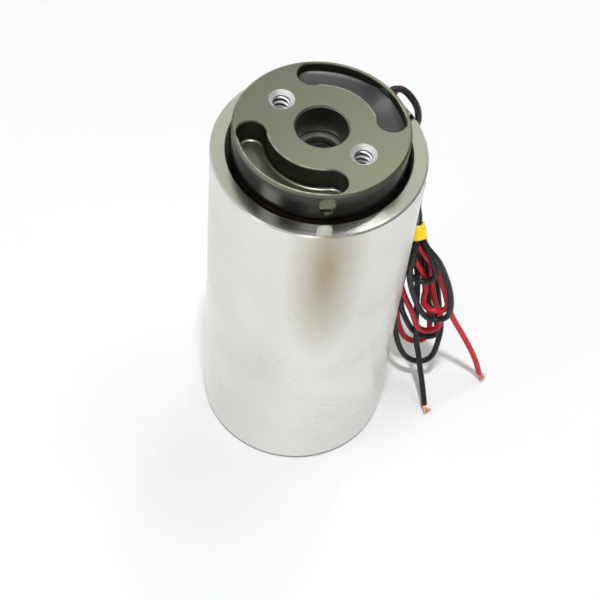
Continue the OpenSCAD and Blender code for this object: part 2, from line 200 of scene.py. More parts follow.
# materials
class Nodes:
    """Shorthand for a node material: every texture reads the object's own coordinates, in millimetres."""

    def __init__(self, name, base, metallic=0.0, rough=0.5, **extra):
        self.mat = bpy.data.materials.new(name)
        self.mat.use_nodes = True
        self.tree = self.mat.node_tree
        self.tree.nodes.clear()
        out = self.node("OutputMaterial")
        self.shader = self.node("BsdfPrincipled")
        self.link(self.shader.outputs[0], out.inputs[0])
        self.shader.inputs["Base Color"].default_value = (*base, 1)
        self.shader.inputs["Metallic"].default_value = metallic
        self.shader.inputs["Roughness"].default_value = rough
        for socket, value in extra.items():
            self.shader.inputs[socket.replace("_", " ")].default_value = value
        scaled = self.node("Mapping")
        scaled.inputs["Scale"].default_value = (1000, 1000, 1000)
        self.link(self.node("TexCoord").outputs["Object"], scaled.inputs["Vector"])
        self.mm = scaled.outputs[0]
        self.normal = None

    def node(self, kind, operation=None):
        n = self.tree.nodes.new("ShaderNode" + kind)
        if operation:
            n.operation = operation
        return n

    def link(self, a, b):
        self.tree.links.new(a, b)

    def math(self, operation, a, b=None):
        n = self.node("Math", operation)
        for k, x in enumerate((a, b)):
            if x is None:
                continue
            if isinstance(x, (int, float)):
                n.inputs[k].default_value = x
            else:
                self.link(x, n.inputs[k])
        return n.outputs[0]

    def times(self, a, b):
        return self.math("MULTIPLY", a, b)

    def plus(self, a, b):
        return self.math("ADD", a, b)

    def minus(self, a, b):
        return self.math("SUBTRACT", a, b)

    def reach(self, x, y):
        """The length of (x, y)."""
        return self.math("SQRT", self.plus(self.times(x, x), self.times(y, y)))

    def split(self):
        n = self.node("SeparateXYZ")
        self.link(self.mm, n.inputs[0])
        return n.outputs

    def combined(self, x, y, z):
        n = self.node("CombineXYZ")
        for k, value in enumerate((x, y, z)):
            self.link(value, n.inputs[k])
        return n.outputs[0]

    def stretched(self, sx, sy, sz):
        n = self.node("VectorMath", "MULTIPLY")
        self.link(self.mm, n.inputs[0])
        n.inputs[1].default_value = (sx, sy, sz)
        return n.outputs[0]

    def cylindrical(self, sr, sa, sz):
        """(radius, angle, z), each with its own scale, for turned and drawn surfaces."""
        x, y, z = self.split()
        r = self.reach(x, y)
        a = self.math("ARCTAN2", y, x)
        return self.combined(self.times(r, sr), self.times(a, sa), self.times(z, sz))

    def noise(self, scale, detail=4, rough=0.55, at=None, distortion=0.0):
        n = self.node("TexNoise")
        n.inputs["Scale"].default_value = scale
        n.inputs["Detail"].default_value = detail
        n.inputs["Roughness"].default_value = rough
        n.inputs["Distortion"].default_value = distortion
        self.link(at or self.mm, n.inputs["Vector"])
        return n.outputs["Fac"]

    def spots(self, scale):
        n = self.node("TexVoronoi")
        n.inputs["Scale"].default_value = scale
        self.link(self.mm, n.inputs["Vector"])
        return n.outputs["Distance"]

    def span(self, value, start, end, low=0.0, high=1.0):
        """From low where the value is at start, to high where it is at end."""
        n = self.node("MapRange")
        n.inputs["From Min"].default_value = start
        n.inputs["From Max"].default_value = end
        n.inputs["To Min"].default_value = low
        n.inputs["To Max"].default_value = high
        self.link(value, n.inputs["Value"])
        return n.outputs[0]

    def mix(self, share, a, b):
        """Colour a, or as much of colour b as the share says."""
        n = self.node("Mix")
        n.data_type = "RGBA"
        self.link(share, n.inputs[0])
        for k, colour in ((6, a), (7, b)):
            if isinstance(colour, tuple):
                n.inputs[k].default_value = (*colour, 1)
            else:
                self.link(colour, n.inputs[k])
        return n.outputs[2]

    def bump(self, height, strength, depth):
        """Bumps as deep as the depth in millimetres, on top of those already there."""
        n = self.node("Bump")
        n.inputs["Strength"].default_value = strength
        n.inputs["Distance"].default_value = depth * MM
        self.link(height, n.inputs["Height"])
        if self.normal is not None:
            self.link(self.normal, n.inputs["Normal"])
        self.normal = n.outputs[0]
        self.link(self.normal, self.shader.inputs["Normal"])

    def set(self, socket, value):
        self.link(value, self.shader.inputs[socket])

    def surface_normal(self):
        return self.node("NewGeometry").outputs["Normal"]

    def edge(self, radius):
        """1 on a sharp edge, 0 on a flat: from how far a bevelled normal leans away."""
        bevel = self.node("Bevel")
        bevel.samples = 6
        bevel.inputs["Radius"].default_value = radius * MM
        lean = self.node("VectorMath", "DOT_PRODUCT")
        self.link(bevel.outputs[0], lean.inputs[0])
        self.link(self.surface_normal(), lean.inputs[1])
        return self.span(lean.outputs["Value"], 0.995, 0.80)


def nickel_shell():
    # bright nickel over ground steel: satin wall, finely turned rim
    m = Nodes("nickel_shell", (0.83, 0.81, 0.77), metallic=1.0, rough=0.2, Anisotropic=0.95)
    x, y, z = m.split()
    rim = m.span(z, RIM_Z - 0.07, RIM_Z - 0.02)
    wall = m.minus(1.0, rim)
    cloud = m.noise(0.06, 3, 0.5)
    fine = m.noise(1.0, 5, 0.6, m.cylindrical(2.0, 6.0, 9.0))
    tone_and_reflection = m.mix(m.span(cloud, 0.35, 0.7), (0.79, 0.785, 0.755), (0.74, 0.735, 0.705))
    # painted reflection: an upright oval under the rim on the front, painted darker and browner where the
    # wall mirrors the shaded floor in front
    oval_x, oval_z = 3.6, RIM_Z - 10
    half_width, half_height = 7.5, 32.0
    off_x = m.math("DIVIDE", m.minus(x, oval_x), half_width)
    off_z = m.math("DIVIDE", m.minus(z, oval_z), half_height)
    front = m.span(y, -8.0, -17.0)
    painted_reflection = m.times(m.span(m.reach(off_x, off_z), 0.1, 1.0, 1.0, 0.0), front)
    tone_and_reflection = m.mix(m.times(painted_reflection, wall), tone_and_reflection, (0.40, 0.345, 0.235))
    m.set("Base Color", m.mix(rim, tone_and_reflection, (0.78, 0.775, 0.74)))
    satin = m.plus(m.span(fine, 0.3, 0.75, 0.20, 0.27), m.span(cloud, 0.3, 0.7, 0.0, 0.05))
    lap = m.span(m.noise(1.0, 4, 0.5, m.cylindrical(6.0, 0.3, 1.0)), 0.3, 0.7, 0.12, 0.15)
    m.set("Roughness", m.plus(m.times(satin, wall), m.times(lap, rim)))
    # the finish runs round the axis on both: rough across the marks, smooth along them
    m.set("Tangent", m.combined(m.times(x, rim), m.times(y, rim), wall))
    m.bump(m.times(fine, wall), strength=0.10, depth=0.02)
    m.bump(m.times(m.spots(0.9), wall), strength=0.03, depth=0.01)
    return m.mat


def nickel_turned():
    # plated steel with the fine rings that facing on a lathe leaves
    m = Nodes("nickel_turned", (0.80, 0.79, 0.76), metallic=1.0, rough=0.25)
    ring = m.noise(1.0, 3, 0.6, m.cylindrical(7.0, 0.25, 1.0))
    m.set("Base Color", m.mix(m.span(m.noise(0.25, 4), 0.3, 0.75), (0.84, 0.83, 0.80), (0.70, 0.69, 0.66)))
    m.set("Roughness", m.span(ring, 0.3, 0.7, 0.22, 0.38))
    m.bump(ring, strength=0.35, depth=0.03)
    return m.mat


def nickel_magnet():
    # plating on sintered magnets: fine grain
    m = Nodes("nickel_magnet", (0.62, 0.61, 0.58), metallic=1.0, rough=0.3)
    grain = m.noise(2.5, 5, 0.6)
    m.set("Roughness", m.span(grain, 0.3, 0.7, 0.24, 0.4))
    m.set("Base Color", m.mix(grain, (0.66, 0.65, 0.62), (0.55, 0.54, 0.51)))
    m.bump(m.noise(9.0, 2), strength=0.2, depth=0.01)
    return m.mat


def anodised():
    # black anodised aluminium: fine matt etch, an olive painted sheen on the top face, painted shade on
    # floors, walls and the outer side, bare metal in the two tapped holes, rubbed edges that also serve as
    # painted glints
    m = Nodes("anodised_black", (0.05, 0.05, 0.045), metallic=0.95, rough=0.34)
    x, y, z = m.split()
    cloud = m.noise(0.12, 3, 0.5)
    grain = m.noise(14.0, 3, 0.65)
    # painted sheen: the top face is olive and paler towards the right and the front, where it mirrors the
    # lamps
    face = m.span(z, FACE_Z - 0.45, FACE_Z - 0.3)
    across = m.span(m.minus(m.times(x, 0.9), m.times(y, 0.5)), -15.0, 12.0)
    painted_sheen = m.plus(m.times(across, 0.8), m.times(cloud, 0.2))
    face_colour = m.mix(painted_sheen, (0.196, 0.203, 0.162), (0.230, 0.238, 0.178))
    # painted shade: floors are darker than the face, and steep walls darker still
    up = m.node("SeparateXYZ")
    m.link(m.surface_normal(), up.inputs[0])
    steep = m.span(up.outputs[2], 0.2, 0.7, 1.0, 0.0)
    floor_colour = m.mix(cloud, (0.150, 0.156, 0.118), (0.130, 0.136, 0.104))
    colour = m.mix(face, m.mix(steep, floor_colour, (0.078, 0.081, 0.064)), face_colour)
    # painted shade: the outer side is painted darkest, where it mirrors the dark side of the room
    outside = m.times(m.span(m.reach(x, y), HOLDER_R - 0.3, HOLDER_R - 0.1), m.minus(1.0, face))
    colour = m.mix(outside, colour, (0.050, 0.051, 0.047))
    # rubbed edges, lightened in patches; the light edges also stand in for glints, a painted highlight
    worn_and_glint = m.times(m.edge(0.14), m.span(m.noise(0.8, 2), 0.42, 0.62, 0.3, 1.0))
    colour = m.mix(worn_and_glint, colour, (0.50, 0.50, 0.45))
    # bare metal inside the countersinks, with painted shade down in the holes
    near_a, near_b = (m.reach(m.minus(x, hx), m.minus(y, hy)) for hx, hy in HOLDER_THREADS)
    bare = m.span(m.math("MINIMUM", near_a, near_b), 2.46, 2.38)
    metal = m.mix(m.span(grain, 0.35, 0.65), (0.62, 0.63, 0.63), (0.86, 0.87, 0.87))
    colour = m.mix(bare, colour, metal)
    # painted shade: darker below the countersinks
    deep = m.times(bare, m.span(z, FACE_Z - 0.74, FACE_Z - 0.9))
    m.set("Base Color", m.mix(deep, colour, (0.16, 0.16, 0.155)))
    # the turned side is smoother than the blasted face
    rough = m.plus(m.span(grain, 0.3, 0.7, 0.30, 0.38), m.times(bare, 0.12))
    m.set("Roughness", m.plus(rough, m.times(outside, -0.13)))
    m.bump(grain, strength=0.10, depth=0.012)
    return m.mat


def bare_aluminium():
    # freshly cut threads, and the coil former's drawn tube
    m = Nodes("bare_aluminium", (0.80, 0.81, 0.82), metallic=1.0, rough=0.2)
    marks = m.noise(1.0, 3, 0.6, m.cylindrical(2.0, 2.0, 6.0))
    m.set("Roughness", m.span(marks, 0.3, 0.7, 0.26, 0.36))
    m.set("Base Color", m.mix(marks, (0.94, 0.95, 0.96), (0.82, 0.83, 0.84)))
    m.bump(marks, strength=0.06, depth=0.01)
    return m.mat


def epoxy():
    # cast black epoxy: satin, slightly hazy, with a few pits
    m = Nodes("potting_epoxy", (0.012, 0.013, 0.014), metallic=0.0, rough=0.42)
    haze = m.noise(0.35, 3, 0.5)
    m.set("Base Color", m.mix(haze, (0.020, 0.021, 0.022), (0.036, 0.037, 0.038)))
    m.set("Roughness", m.span(haze, 0.3, 0.7, 0.36, 0.50))
    m.bump(m.noise(0.8, 3, 0.5), strength=0.08, depth=0.10)
    m.bump(m.span(m.spots(1.6), 0.0, 0.12), strength=0.2, depth=0.03)
    return m.mat


def silicone(name, a, b, dust):
    # soft silicone insulation: satin skin with fine talc and small dents
    m = Nodes(name, a, metallic=0.0, rough=0.42, Specular_IOR_Level=0.32)
    talc = m.noise(3.0, 5, 0.7)
    m.set("Base Color", m.mix(m.span(talc, 0.5, 0.9, 0, 0.25), m.mix(m.noise(0.5, 2), a, b), dust))
    m.set("Roughness", m.span(talc, 0.3, 0.8, 0.34, 0.52))
    m.bump(m.noise(2.2, 3, 0.5), strength=0.15, depth=0.05)
    m.bump(m.noise(16.0, 2, 0.6), strength=0.12, depth=0.01)
    return m.mat


def copper():
    # bare strands, browner where fingers touched them
    m = Nodes("copper_strands", (0.80, 0.42, 0.30), metallic=1.0, rough=0.3)
    tarnish = m.noise(2.0, 4, 0.6)
    m.set("Base Color", m.mix(m.span(tarnish, 0.35, 0.7), (0.86, 0.46, 0.32), (0.66, 0.28, 0.19)))
    m.set("Roughness", m.span(tarnish, 0.3, 0.7, 0.24, 0.42))
    m.bump(tarnish, strength=0.2, depth=0.01)
    return m.mat


def tape_yellow():
    # glossy film with crinkles
    m = Nodes("hank_tape_film", (0.86, 0.55, 0.08), metallic=0.0, rough=0.3,
              Coat_Weight=0.35, Coat_Roughness=0.12)
    crinkle = m.noise(0.8, 5, 0.65, distortion=0.6)
    m.set("Base Color", m.mix(m.span(crinkle, 0.3, 0.75), (0.93, 0.66, 0.03), (0.80, 0.50, 0.02)))
    m.set("Roughness", m.span(m.noise(5.0, 3), 0.3, 0.7, 0.22, 0.38))
    m.bump(crinkle, strength=0.5, depth=0.10)
    return m.mat


def rubber():
    m = Nodes("stop_rubber", (0.025, 0.025, 0.026), metallic=0.0, rough=0.72)
    grain = m.noise(12.0, 4, 0.7)
    m.set("Base Color", m.mix(grain, (0.022, 0.022, 0.023), (0.050, 0.049, 0.047)))
    m.bump(grain, strength=0.3, depth=0.02)
    return m.mat


def film():
    # amber polyimide with the ripples of its wrapping
    m = Nodes("polyimide_film", (0.42, 0.20, 0.03), metallic=0.0, rough=0.22,
              Coat_Weight=0.5, Coat_Roughness=0.08)
    ripple = m.noise(1.0, 3, 0.5, m.cylindrical(1.0, 4.0, 1.5))
    m.set("Base Color", m.mix(ripple, (0.50, 0.25, 0.035), (0.33, 0.14, 0.02)))
    m.bump(ripple, strength=0.3, depth=0.04)
    return m.mat


def winding():
    # enamelled wire laid in even turns
    turn = 0.28
    m = Nodes("winding_enamel", (0.45, 0.14, 0.05), metallic=0.75, rough=0.28,
              Coat_Weight=0.6, Coat_Roughness=0.12)
    wave = m.node("TexWave")
    wave.wave_type = "BANDS"
    wave.bands_direction = "Z"
    wave.wave_profile = "SIN"
    # a wave texture of scale 1 repeats every 2 pi / 20
    wave.inputs["Scale"].default_value = 2 * math.pi / 20 / turn
    wave.inputs["Distortion"].default_value = 0.15
    m.link(m.mm, wave.inputs["Vector"])
    wires = wave.outputs["Fac"]
    m.set("Base Color", m.mix(wires, (0.22, 0.06, 0.025), (0.56, 0.20, 0.08)))
    m.bump(wires, strength=0.8, depth=0.10)
    return m.mat


def wrap_tape():
    # thin dark outer wrap with the spiral seam of its overlap
    lead_of_spiral = 9.0
    m = Nodes("winding_wrap_tape", (0.03, 0.02, 0.015), metallic=0.0, rough=0.35,
              Coat_Weight=0.3, Coat_Roughness=0.15)
    x, y, z = m.split()
    climb = m.plus(m.times(m.math("ARCTAN2", y, x), lead_of_spiral / (2 * math.pi)), z)
    turn = m.math("FRACT", m.math("DIVIDE", climb, lead_of_spiral))
    seam = m.span(m.math("ABSOLUTE", m.minus(turn, 0.5)), 0.0, 0.03, 1.0, 0.0)
    weave = m.noise(6.0, 3, 0.6)
    m.set("Base Color", m.mix(seam, m.mix(weave, (0.022, 0.014, 0.011), (0.012, 0.009, 0.008)),
                              (0.05, 0.022, 0.012)))
    m.bump(seam, strength=0.6, depth=0.06)
    m.bump(weave, strength=0.15, depth=0.02)
    return m.mat


def glass_epoxy():
    m = Nodes("glass_epoxy", (0.30, 0.36, 0.16), metallic=0.0, rough=0.45)
    fibre = m.noise(1.0, 4, 0.6, m.stretched(1.2, 1.2, 14))
    m.set("Base Color", m.mix(fibre, (0.36, 0.40, 0.20), (0.22, 0.28, 0.12)))
    m.bump(fibre, strength=0.3, depth=0.03)
    return m.mat


def brass():
    m = Nodes("sleeve_brass", (0.72, 0.52, 0.24), metallic=1.0, rough=0.3)
    marks = m.noise(1.0, 4, 0.6, m.cylindrical(4.0, 0.6, 6.0))
    m.set("Base Color", m.mix(marks, (0.76, 0.56, 0.27), (0.55, 0.38, 0.16)))
    m.set("Roughness", m.span(marks, 0.3, 0.7, 0.24, 0.4))
    m.bump(marks, strength=0.2, depth=0.015)
    return m.mat


def black_steel():
    # black oxide, rubbed grey on its edges
    m = Nodes("black_oxide_steel", (0.045, 0.045, 0.047), metallic=0.8, rough=0.34)
    grain = m.noise(3.0, 4, 0.6)
    oxide = m.mix(grain, (0.05, 0.05, 0.052), (0.030, 0.030, 0.032))
    m.set("Base Color", m.mix(m.times(m.edge(0.08), 0.5), oxide, (0.22, 0.21, 0.20)))
    m.set("Roughness", m.span(grain, 0.3, 0.7, 0.28, 0.42))
    m.bump(grain, strength=0.2, depth=0.015)
    return m.mat


MATERIAL = {
    "shell": nickel_shell(), "turned": nickel_turned(), "magnet": nickel_magnet(), "anodised": anodised(),
    "bare": bare_aluminium(), "epoxy": epoxy(),
    "black": silicone("silicone_black", (0.008, 0.0085, 0.009), (0.014, 0.015, 0.016), (0.05, 0.053, 0.055)),
    "red": silicone("silicone_red", (0.60, 0.018, 0.032), (0.50, 0.011, 0.022), (0.75, 0.14, 0.15)),
    "copper": copper(), "tape": tape_yellow(), "rubber": rubber(), "film": film(), "winding": winding(),
    "wrap": wrap_tape(), "glass": glass_epoxy(), "brass": brass(), "screw": black_steel(),
}
NODE_MATERIALS = {
    "housing_tube": "shell", "base_plate": "turned", "magnet_1": "magnet", "magnet_2": "magnet",
    "middle_pole": "turned", "magnet_3": "magnet", "magnet_4": "magnet", "top_pole": "turned",
    "centering_sleeve": "brass", "tie_screw": "screw", "stop_washer": "rubber", "coil_holder": "anodised",
    "coil_former": "bare", "insulation_film": "film", "lower_cheek": "glass", "main_winding": "winding",
    "winding_spacer": "glass", "upper_winding": "winding", "winding_wrap": "wrap",
    "potting_compound": "epoxy",
}


def dress_nodes():
    """Give each CAD node that stays in view its material, in all of its slots."""
    for node, kind in NODE_MATERIALS.items():
        slots = frame["nodes"][node].data.materials
        if len(slots) == 0:
            slots.append(MATERIAL[kind])
        for k in range(len(slots)):
            slots[k] = MATERIAL[kind]


dress_nodes()


# leads: guide points as listed, then relaxed so that the turns press on each other as soft leads do

# the lead centre line comes no nearer to the housing's axis, and no lower, than this
WALL_R = 20.72
LEAST_Z = 0.7
# the hank's own axes: n out from the housing's axis, s along the wall, z up
HANK_AZ = math.radians(28)
OUT_X, OUT_Y = math.cos(HANK_AZ), math.sin(HANK_AZ)
# the tie's middle, and the way the bundle leans there: this much along the wall for this much up
TIE_N, TIE_S, TIE_Z = 22.55, -1.6, 47.3
LEAN_S, LEAN_Z = 0.7413, 0.6712
# how far apart the strands lie in the tie
STRAND_PITCH = 1.22


def out_from_wall(n, s, z):
    """A point given in the hank's own axes."""
    return (n * OUT_X - s * OUT_Y, n * OUT_Y + s * OUT_X, z)


def from_tie(n, along_it, across):
    """A point n out from the housing's axis, then along and across the bundle from the tie's middle."""
    s = TIE_S - LEAN_Z * across + LEAN_S * along_it
    z = TIE_Z + LEAN_S * across + LEAN_Z * along_it
    return out_from_wall(n, s, z)


def through_tie(layer, place, way):
    """One strand through the tie: three layers of six places, upwards (way 1) or downwards (way -1)."""
    across = (2.5 - place) * STRAND_PITCH
    n = TIE_N + (layer - 1) * STRAND_PITCH
    return [from_tie(n, way * t, across) for t in (-2.4, 0.0, 2.6 if way > 0 else 2.4)]


def fold(n, across, r, top, side):
    """The short loop above the tie: out on one side, round, and back on the other."""
    steps = ((-4.6, side * (r - 0.7), 0), (-1.0, side * r, 0), (0, side * 0.7 * r, 0.7 * r), (0, 0, r),
             (0, -side * 0.7 * r, 0.7 * r), (-1.0, -side * r, 0), (-4.6, -side * (r - 0.7), 0))
    return [from_tie(n, top + t + more, across + e) for t, e, more in steps]


# guide points: the way down from the holder's rear slot
exit_way = [polar(r, LEAD_AZ) for r in (15.9, 17.2)]
black_drop = [(x, y, 84.45) for x, y in exit_way] + [
    (13.0, 13.0, 84.5), (14.3, 13.0, 84.1), (15.65, 12.45, 83.2), (16.95, 12.2, 81.3), (17.7, 12.15, 78.6),
    (17.75, 12.35, 76.2), (17.3, 12.8, 73.6), (17.0, 13.3, 71), (17.0, 13.55, 68), (17.3, 13.6, 65),
    (17.4, 13.6, 62),
    out_from_wall(21.2, 4.2, 58.5), out_from_wall(21.3, 4.0, 55.0), out_from_wall(21.8, 2.4, 51.6)]
red_drop = [(x, y, 82.7) for x, y in exit_way] + [
    (13.1, 14.4, 82.95), (14.43, 14.44, 82.6), (15.78, 13.9, 81.7), (17.1, 13.65, 79.7), (17.78, 13.7, 76.85),
    (17.75, 14.0, 74.45), (17.4, 14.55, 71.85), (17.1, 15.0, 69.2), (17.2, 15.1, 66.5), (17.5, 15.0, 64),
    (17.6, 14.93, 62),
    out_from_wall(21.3, 5.8, 58.5), out_from_wall(21.2, 5.4, 54.2), out_from_wall(21.5, 3.2, 50.6)]
# the loops that hang below the tie, as the photograph shows them from the camera
black_small = [
    (21.5, 5.4, 44.6), (21.5, 5.6, 40.5), (22.4, 5.5, 37.4), (24.1, 5.5, 35.3), (25.9, 5.5, 35.9),
    (26.6, 5.6, 38.3), (26.1, 5.7, 41.4), (24.9, 5.9, 45.0)]
black_right = [
    (21.3, 4.2, 46.4), (20.9, 4.4, 43.0), (21.3, 4.3, 38.1), (22.8, 4.2, 33.0), (24.9, 4.2, 28.0),
    (27.0, 4.2, 24.6), (29.4, 4.2, 23.3), (31.1, 4.2, 25.7), (31.4, 4.2, 29.8), (30.7, 4.4, 34.3),
    (29.1, 4.6, 38.9), (27.3, 4.8, 43.0), (25.4, 5.0, 46.6)]
black_middle = [
    (20.2, 8.2, 41.8), (20.0, 7.6, 36.0), (20.6, 6.9, 28.7), (21.7, 6.8, 22.7), (23.6, 6.7, 18.4),
    (25.7, 6.6, 14.9), (28.0, 6.6, 13.3), (30.1, 6.7, 14.4), (30.6, 6.8, 17.1), (29.5, 7.2, 20.7),
    (27.4, 7.6, 24.6), (26.0, 7.9, 29.0), (25.1, 8.0, 34.4), (24.1, 8.2, 39.0), (23.2, 8.2, 42.0)]
black_low = [
    (21.0, 9.6, 41.0), (20.6, 9.4, 35.0), (20.0, 8.4, 28.5), (20.3, 6.8, 21.5), (21.1, 6.0, 16.4),
    (22.5, 5.4, 11.2), (24.8, 5.0, 7.2), (27.4, 4.9, 5.5), (29.7, 5.0, 6.8), (30.7, 5.4, 9.8),
    (30.8, 6.1, 13.9), (30.7, 7.5, 17.2), (29.9, 8.5, 22.1), (28.8, 9.4, 27.8), (27.0, 9.9, 34.2),
    (25.0, 9.8, 38.8), (23.2, 9.2, 41.8)]
red_small = [
    (21.8, 6.6, 43.6), (23.2, 6.7, 40.0), (24.7, 6.8, 36.2), (25.9, 6.6, 32.3), (26.5, 6.3, 28.2),
    (27.3, 5.7, 25.4), (28.8, 5.5, 24.3), (30.2, 5.6, 26.0), (30.3, 5.8, 29.3), (29.6, 6.0, 32.6),
    (28.4, 6.2, 36.1), (26.7, 6.5, 40.4), (24.8, 6.8, 44.6)]
red_middle = [
    (20.7, 7.4, 42.4), (20.1, 6.4, 38.0), (20.1, 5.8, 35.0), (20.9, 5.6, 31.6), (22.5, 5.5, 27.3),
    (24.4, 5.5, 23.1), (26.2, 5.5, 19.4), (28.1, 5.7, 17.2), (29.8, 6.3, 17.7), (29.9, 7.0, 20.2),
    (28.8, 7.5, 24.6), (27.2, 7.8, 31.2), (25.7, 7.9, 38.1), (24.3, 7.6, 43.0)]
red_low = [
    (20.0, 9.0, 41.0), (19.9, 8.8, 35.0), (20.0, 8.4, 28.0), (20.5, 8.0, 22.7), (21.4, 7.8, 17.4),
    (22.8, 7.8, 13.3), (24.7, 7.8, 10.2), (26.9, 7.8, 9.2), (28.5, 8.2, 11.0), (28.7, 8.6, 15.2),
    (27.8, 8.9, 21.2), (26.5, 9.1, 29.0), (24.9, 9.2, 36.4), (23.3, 9.1, 41.0)]
# the two ends that stand out to the floor
black_end = [
    (22.6, 7.4, 42.6), (23.4, 7.2, 36.0), (24.5, 6.9, 27.0), (25.4, 6.4, 19.0), (26.3, 5.4, 13.0),
    (27.1, 4.0, 10.6), (27.8, 2.6, 8.1), (28.5, 1.1, 5.9), (29.2, -0.6, 3.8), (29.8, -2.4, 2.0),
    (30.1, -3.6, 1.1)]
red_end = [
    (24.3, 6.6, 44.6), (27.0, 7.3, 39.0), (29.3, 7.8, 32.4), (30.9, 7.8, 27.0), (32.3, 7.6, 22.3),
    (33.6, 7.5, 19.9), (34.9, 7.5, 17.4), (36.3, 7.4, 14.8), (37.7, 7.2, 12.2), (39.1, 7.0, 9.4),
    (40.4, 6.8, 6.6), (41.4, 6.6, 3.9), (42.2, 6.3, 1.5)]

black_guide = (
    black_drop + through_tie(1, 5, -1)
    + black_low + through_tie(1, 4, 1) + fold(22.4, -0.2, 2.8, 7.4, -1) + through_tie(0, 4, -1)
    + black_middle + through_tie(2, 4, 1) + fold(23.6, 0.0, 3.9, 8.6, -1) + through_tie(0, 1, -1)
    + black_small + through_tie(2, 1, 1) + fold(24.8, 0.3, 3.6, 8.6, -1) + through_tie(0, 0, -1)
    + black_right + through_tie(2, 0, 1) + fold(24.8, 0.2, 2.6, 6.6, 1) + through_tie(1, 2, -1)
    + black_end)
red_guide = (
    red_drop + through_tie(0, 5, -1)
    + red_low + through_tie(2, 5, 1) + fold(23.6, -0.3, 2.6, 6.8, -1) + through_tie(0, 3, -1)
    + red_middle + through_tie(2, 3, 1) + fold(26.0, 0.0, 3.0, 8.6, -1) + through_tie(0, 2, -1)
    + red_small + through_tie(2, 2, 1) + fold(22.4, 0.2, 4.0, 8.6, -1) + through_tie(1, 1, -1)
    + red_end)


def hank_axes(p):
    """Out from the housing's axis, and along the bundle and across it from the tie's middle."""
    out = p[:, 0] * OUT_X + p[:, 1] * OUT_Y
    s = p[:, 1] * OUT_X - p[:, 0] * OUT_Y - TIE_S
    z = p[:, 2] - TIE_Z
    return out, s * LEAN_S + z * LEAN_Z, z * LEAN_S - s * LEAN_Z


def press_apart(x, pairs, gap, free):
    """Move points that lie nearer than the gap away from each other."""
    a, b = pairs
    d = x[a] - x[b]
    r = np.linalg.norm(d, axis=1) + 1e-9
    near = r < gap
    a, b, d, r = a[near], b[near], d[near], r[near]
    push = d / r[:, None] * ((gap - r) * 0.5)[:, None]
    move = np.zeros_like(x)
    np.add.at(move, a, push)
    np.add.at(move, b, -push)
    met = np.bincount(a, minlength=len(x)) + np.bincount(b, minlength=len(x))
    return x + free * move / np.maximum((1 + 0.5 * met) / 1.5, 1)[:, None]


def limit_bend(p, free, r_min):
    """Open out every bend that is tighter than r_min, over one step each way and over three."""
    ease = 0.30
    for steps in (1, 3):
        middle = (p[:-2 * steps] + p[2 * steps:]) / 2
        arch = p[steps:-steps] - middle
        high = np.linalg.norm(arch, axis=1)[:, None]
        half = np.linalg.norm(p[2 * steps:] - p[:-2 * steps], axis=1)[:, None] / 2
        # the height of an arch of radius r_min over the same chord
        most = r_min - np.sqrt(np.maximum(r_min ** 2 - np.minimum(half, r_min * 0.999) ** 2, 0))
        extra = np.maximum(high - most, 0) / np.maximum(high, 1e-9) * arch * ease
        move = np.zeros_like(p)
        move[steps:-steps] -= extra
        move[:-2 * steps] += extra * 0.5
        move[2 * steps:] += extra * 0.5
        p = p + free * move
    return p


def smooth(p, home, free, pull):
    """Even out the curvature, and draw a little towards where the lead was laid."""
    evening, straightening = 0.7, 0.02
    straight = p.copy()
    straight[1:-1] = (p[:-2] + p[2:]) / 2
    even = p.copy()
    even[2:-2] = p[2:-2] + (-p[:-4] + 4 * p[1:-3] - 6 * p[2:-2] + 4 * p[3:-1] - p[4:]) / 16 * evening
    smoother = even * (1 - straightening) + straight * straightening
    return p + free * (smoother + pull * (home - smoother) - p)


def hold_length(p, free, step):
    """Bring neighbouring points back towards one step apart, three times over."""
    ease = 0.3
    for _ in range(3):
        link = p[1:] - p[:-1]
        shift = link * (1 - step / np.linalg.norm(link, axis=1)[:, None]) * ease
        move = np.zeros_like(p)
        move[:-1] += shift
        move[1:] -= shift
        p = p + free * move
    return p


def clear_housing(x, loose):
    """Keep the leads off the housing's wall and off the floor."""
    over_rim_z = 80.7
    r = np.hypot(x[:, 0], x[:, 1])
    inside = (r < WALL_R) & (x[:, 2] < over_rim_z) & loose
    outward = np.where(inside, WALL_R / np.maximum(r, 1e-6), 1.0)
    x[:, 0] *= outward
    x[:, 1] *= outward
    x[:, 2] = np.where(loose, np.maximum(x[:, 2], LEAST_Z), x[:, 2])


def draw_together(x, tied):
    """The tape draws its strands in a little each round, and keeps them as deep as three layers."""
    tighter = 0.9965
    half_width = 3.194
    inner, outer = 21.3, 23.8
    out, along_it, across = hank_axes(x)
    out = np.clip(out, inner, outer)
    across = np.clip(across * tighter, -half_width, half_width)
    x[tied] = np.column_stack(from_tie(out, along_it * tighter, across))[tied]


def hide_folds(x, loose):
    """Move the folds above the tie back behind the housing's edge, as the camera sees it."""
    tie_end, low_z, high_z = 2.4, 46, 66
    back_x, back_y = -0.235, 0.44
    along_it = hank_axes(x)[1]
    # the line of sight past the housing's edge; next to the tie a strand may stand a little past it
    edge_x = 19.55 + 0.1175 * x[:, 1]
    past = x[:, 0] - edge_x - np.clip(tie_end + 2 - along_it, 0, 2) * 0.6
    seen = (along_it > tie_end) & (x[:, 2] > low_z) & (x[:, 2] < high_z) & loose & (past > 0)
    x[:, 0] += np.where(seen, past * back_x, 0)
    x[:, 1] += np.where(seen, past * back_y, 0)


def points_in_tie(x):
    """Which points of the laid leads the tape holds."""
    out, along_it, across = hank_axes(x)
    return (abs(along_it) < 2.2) & (abs(across) < 3.8) & (out > 20.9) & (out < 24.6)


